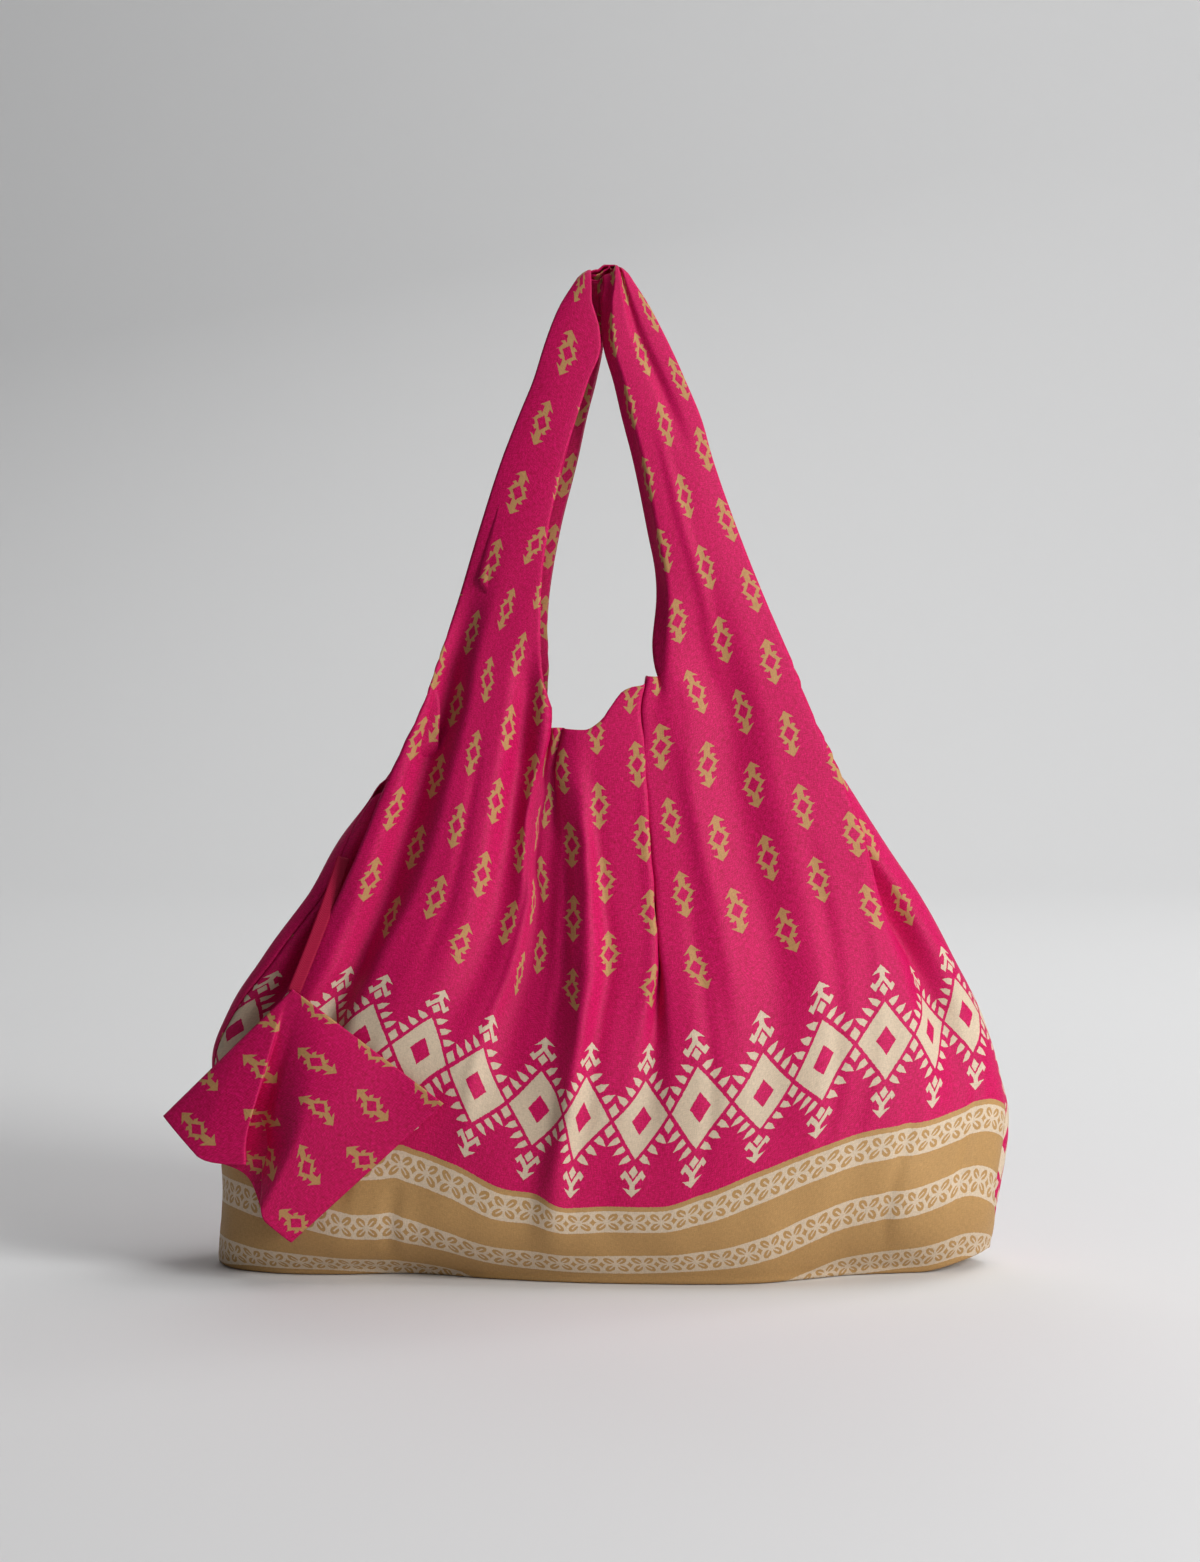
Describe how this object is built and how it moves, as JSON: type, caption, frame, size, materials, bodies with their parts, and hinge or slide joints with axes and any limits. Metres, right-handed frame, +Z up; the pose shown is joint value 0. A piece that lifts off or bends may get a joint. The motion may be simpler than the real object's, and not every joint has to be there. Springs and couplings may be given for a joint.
{
  "type": "reusable shopping bag",
  "caption": "Printed cloth shopping bag hung by its gathered straps, base spread flat, with a small stuff pouch on a tape at its side.",
  "frame": {"origin": "under the middle of the bag's bounding box, on the surface it stands on", "axes": "+X to the bag's right as seen from the front, +Y towards its back, +Z up to the straps' gathered top"},
  "size_m": [0.457, 0.1382, 0.5434],
  "materials": {
    "printed_cloth": "fuchsia woven cloth with a soft sheen and a cream and gold print",
    "tape": "narrow crimson woven tape"
  },
  "bodies": {
    "root": {"front_panel": "printed_cloth", "back_panel": "printed_cloth", "pouch_front": "printed_cloth", "pouch_back": "printed_cloth", "pouch_tape": "tape"}
  },
  "joints": []
}
